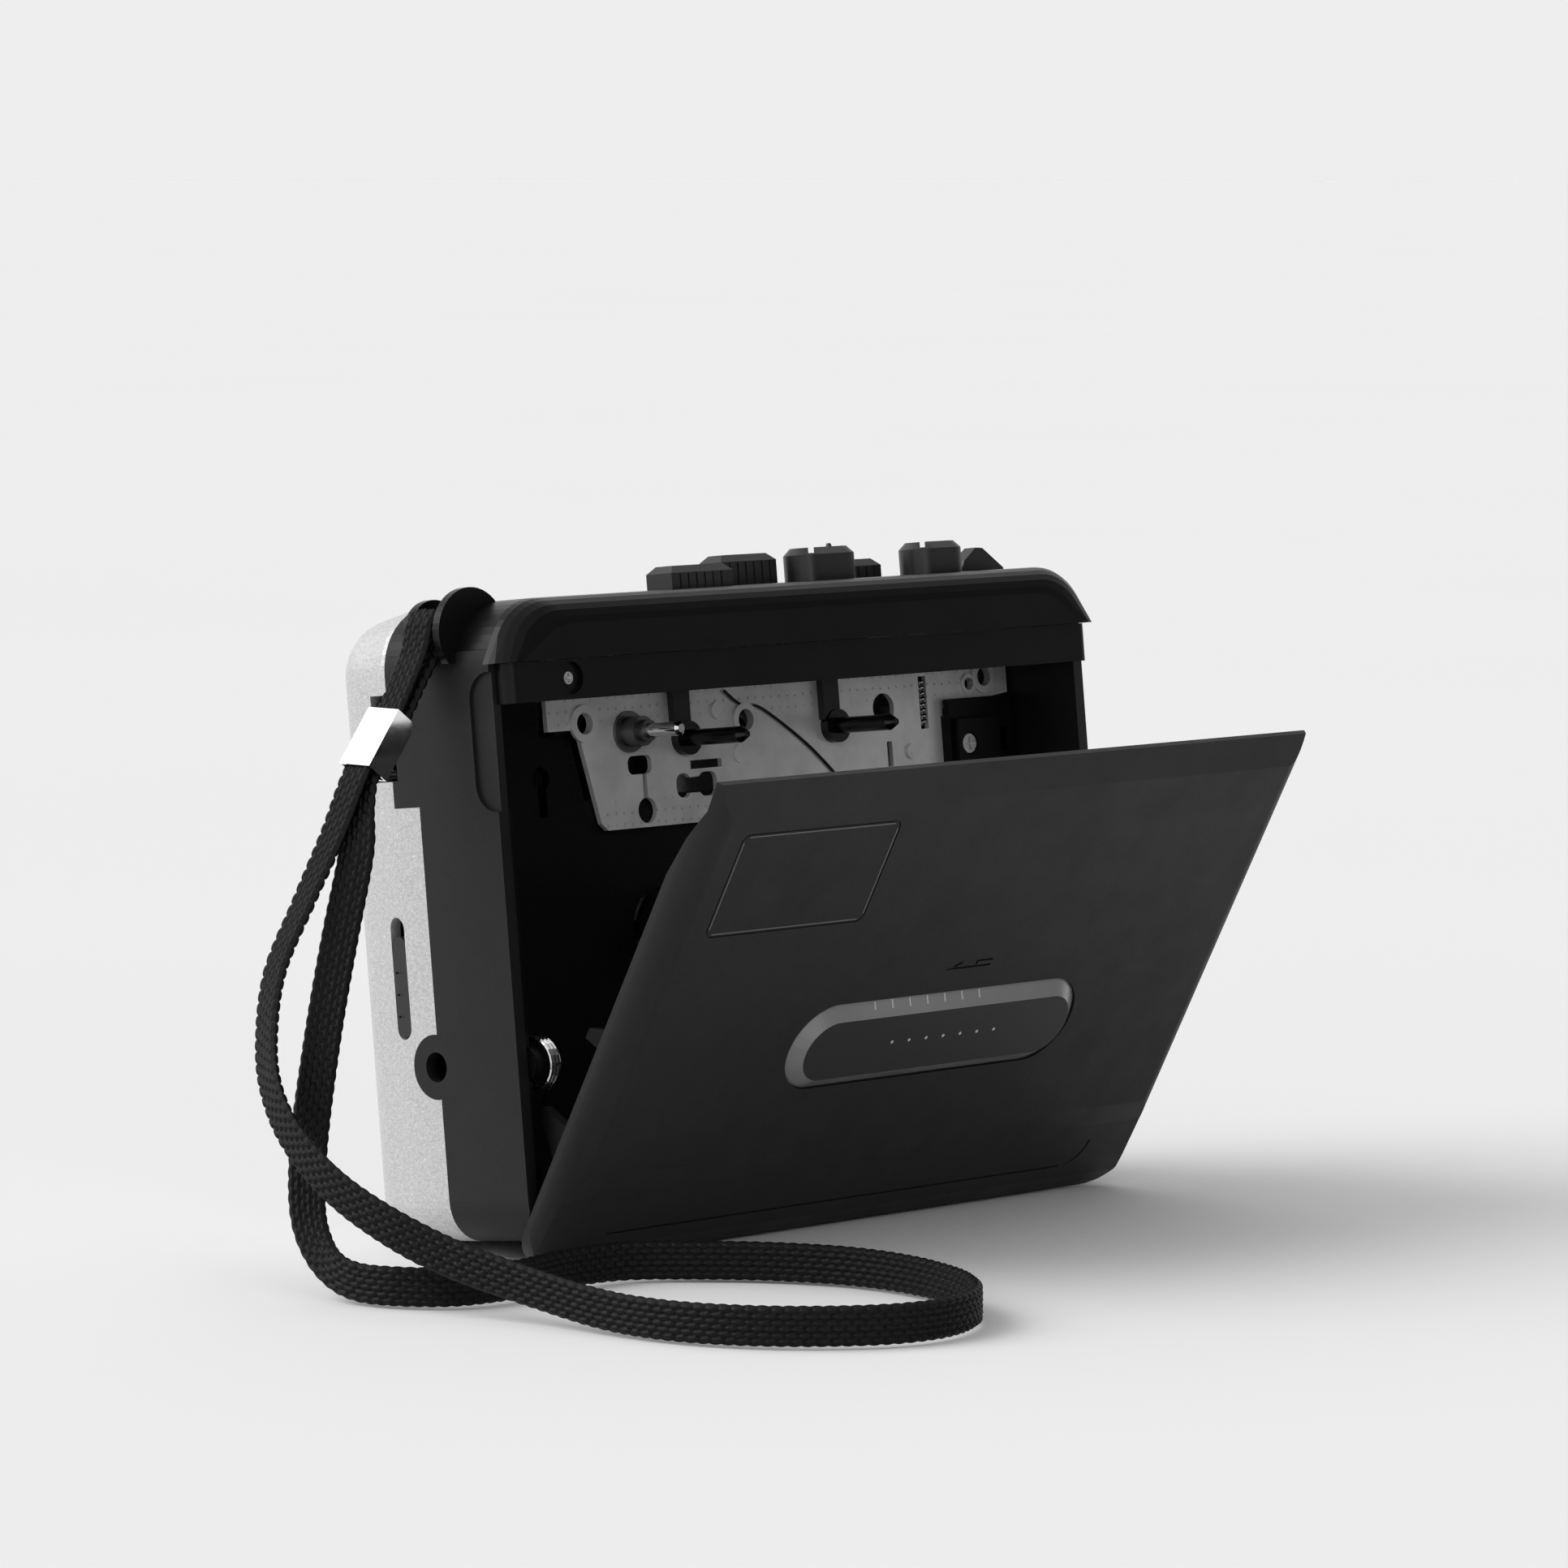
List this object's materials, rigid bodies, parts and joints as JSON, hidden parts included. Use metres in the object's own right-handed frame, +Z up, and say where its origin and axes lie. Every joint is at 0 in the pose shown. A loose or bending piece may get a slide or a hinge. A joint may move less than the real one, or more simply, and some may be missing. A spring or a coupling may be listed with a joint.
{
  "type": "cassette player",
  "caption": "Pocket radio-cassette recorder standing on its base with the cassette door open, tape mechanism showing and a woven wrist strap.",
  "frame": {"origin": "on the ground under the middle of the box around the body, its keys and its open door", "axes": "+X to the right seen from the door side, +Y to the speaker side, +Z up; the body leans back 6 degrees on its open door, so keys travel along the leaned height and wheels turn about the leaned depth"},
  "size_m": [0.1564, 0.1203, 0.0942],
  "materials": {
    "black_plastic": "fine-grained satin black",
    "black_inner": "matt black",
    "silver_paint": "fine metallic silver paint on plastic",
    "zinc_plate": "dimpled zinc-plated sheet",
    "steel": "bright steel",
    "spring_steel": "bright spring wire",
    "brass": "turned brass",
    "rubber": "black rubber",
    "white_plastic": "natural acetal",
    "clear_plastic": "clear acrylic",
    "board": "green circuit board",
    "paper": "printed label",
    "cone_paper": "pressed paper cone",
    "scale_white": "white printed scale",
    "pointer_red": "red gloss",
    "ferrite": "sintered ferrite",
    "webbing": "woven black nylon webbing",
    "chrome": "bright nickel",
    "grille": "perforated sheet"
  },
  "bodies": {
    "casing": {"front_casing": "black_plastic", "rear_shell": "silver_paint", "top_cover": "black_plastic", "head_cover": "black_plastic", "compartment_liner": "black_inner", "chassis_plate": "zinc_plate", "mechanism_cover": "black_inner", "case_screws": "steel", "guide_pins": "black_inner", "capstan_bearing": "steel", "slot_spring": "spring_steel", "drive_belt": "rubber", "motor": "steel", "mechanism_bracket": "zinc_plate", "circuit_board": "board", "board_parts": "black_inner", "battery_tray": "black_inner", "battery_contacts": "spring_steel", "speaker_frame": "zinc_plate", "speaker_cone": "cone_paper", "speaker_grille": "grille", "dial_window": "clear_plastic", "dial_scale": "scale_white", "tuning_capacitor": "white_plastic", "ferrite_antenna": "ferrite", "dc_jack": "black_inner", "headphone_jack": "black_inner", "hinge_pins": "steel", "door_spring": "spring_steel", "strap_bar": "steel", "wrist_strap": "webbing", "strap_clip": "chrome"},
    "door": {"door_panel": "black_plastic", "door_window": "clear_plastic", "door_label": "paper", "cassette_holder": "black_inner"},
    "head_carriage": {"head_base": "zinc_plate", "record_play_head": "steel", "erase_head": "black_inner"},
    "pinch_lever": {"pinch_arm": "steel"},
    "pinch_wheel": {"pinch_roller": "rubber"},
    "capstan": {"capstan_shaft": "steel", "flywheel": "brass"},
    "motor_rotor": {"motor_pulley": "brass"},
    "takeup_hub": {"takeup_spindle": "white_plastic", "takeup_gear": "white_plastic"},
    "supply_hub": {"supply_spindle": "white_plastic", "supply_gear": "white_plastic"},
    "idler": {"idler_gear": "white_plastic"},
    "battery_door": {"battery_lid": "silver_paint"},
    "tuning_knob": {"tuning_wheel": "black_plastic"},
    "pointer": {"dial_pointer": "pointer_red"},
    "volume_knob": {"volume_wheel": "black_plastic"},
    "output_slider": {"output_switch": "black_plastic"},
    "record_button": {"record_key": "black_plastic"},
    "rewind_button": {"rewind_key": "black_plastic"},
    "play_button": {"play_key": "black_plastic"},
    "forward_button": {"forward_key": "black_plastic"},
    "stop_button": {"stop_key": "black_plastic"},
    "pause_catch": {"pause_slider": "black_plastic"}
  },
  "joints": [
    {"name": "door_hinge", "type": "hinge", "parent": "casing", "child": "door", "pos_m": [0.0007, 0.00201, 0.01022], "axis": [1, 0, 0], "range_deg": [-34.5, 0]},
    {"name": "play_press", "type": "slide", "parent": "casing", "child": "play_button", "axis": [0, -0.1045, -0.9945], "range_m": [0, 0.003], "stiffness_N_per_m": 300},
    {"name": "head_advance", "type": "slide", "parent": "casing", "child": "head_carriage", "axis": [0, -0.1045, -0.9945], "range_m": [0, 0.003]},
    {"name": "pinch_lever_turn", "type": "hinge", "parent": "casing", "child": "pinch_lever", "pos_m": [-0.0327, 0.02033, 0.07737], "axis": [0, 0.9945, -0.1045], "range_deg": [0, 20.5]},
    {"name": "pinch_roller_spin", "type": "hinge", "parent": "pinch_lever", "child": "pinch_wheel", "pos_m": [-0.0199, 0.02033, 0.07737], "axis": [0, 0.9945, -0.1045], "continuous": true},
    {"name": "motor_spin", "type": "hinge", "parent": "casing", "child": "motor_rotor", "pos_m": [-0.0393, 0.01585, 0.03471], "axis": [0, 0.9945, -0.1045], "continuous": true},
    {"name": "capstan_spin", "type": "hinge", "parent": "casing", "child": "capstan", "pos_m": [-0.0206, 0.01945, 0.06892], "axis": [0, 0.9945, -0.1045], "continuous": true},
    {"name": "idler_spin", "type": "hinge", "parent": "casing", "child": "idler", "pos_m": [-0.01872, 0.01834, 0.05838], "axis": [0, 0.9945, -0.1045], "continuous": true},
    {"name": "takeup_spin", "type": "hinge", "parent": "casing", "child": "takeup_hub", "pos_m": [-0.01575, 0.01658, 0.04167], "axis": [0, 0.9945, -0.1045], "continuous": true},
    {"name": "supply_spin", "type": "hinge", "parent": "casing", "child": "supply_hub", "pos_m": [0.02675, 0.01658, 0.04167], "axis": [0, 0.9945, -0.1045], "continuous": true},
    {"name": "record_press", "type": "slide", "parent": "casing", "child": "record_button", "axis": [0, -0.1045, -0.9945], "range_m": [0, 0.003], "stiffness_N_per_m": 300},
    {"name": "rewind_press", "type": "slide", "parent": "casing", "child": "rewind_button", "axis": [0, -0.1045, -0.9945], "range_m": [0, 0.003], "stiffness_N_per_m": 300},
    {"name": "forward_press", "type": "slide", "parent": "casing", "child": "forward_button", "axis": [0, -0.1045, -0.9945], "range_m": [0, 0.003], "stiffness_N_per_m": 300},
    {"name": "stop_press", "type": "slide", "parent": "casing", "child": "stop_button", "axis": [0, -0.1045, -0.9945], "range_m": [0, 0.003], "stiffness_N_per_m": 300},
    {"name": "pause_slide", "type": "slide", "parent": "casing", "child": "pause_catch", "axis": [1, 0, 0], "range_m": [0, 0.0015]},
    {"name": "output_switch_slide", "type": "slide", "parent": "casing", "child": "output_slider", "axis": [0, 0.1045, 0.9945], "range_m": [0, 0.0023]},
    {"name": "volume_turn", "type": "hinge", "parent": "casing", "child": "volume_knob", "pos_m": [-0.0529, 0.01961, 0.07051], "axis": [0, 0.9945, -0.1045], "range_deg": [-140, 140]},
    {"name": "tuning_turn", "type": "hinge", "parent": "casing", "child": "tuning_knob", "pos_m": [0.0528, 0.01888, 0.06355], "axis": [0, 0.9945, -0.1045], "range_deg": [-135, 135]},
    {"name": "pointer_travel", "type": "slide", "parent": "casing", "child": "pointer", "axis": [1, 0, 0], "range_m": [-0.012, 0.012]},
    {"name": "battery_lid_slide", "type": "slide", "parent": "casing", "child": "battery_door", "axis": [1, 0, 0], "range_m": [0, 0.012]}
  ],
  "couplings": [
    {"joint": "head_advance", "follows": "play_press", "ratio": 1},
    {"joint": "pinch_lever_turn", "follows": "play_press", "rad_per_m": 119},
    {"joint": "capstan_spin", "follows": "motor_spin", "ratio": 0.22609},
    {"joint": "idler_spin", "follows": "motor_spin", "ratio": -0.09566},
    {"joint": "takeup_spin", "follows": "motor_spin", "ratio": 0.07616},
    {"joint": "pointer_travel", "follows": "tuning_turn", "m_per_rad": 0.005}
  ]
}
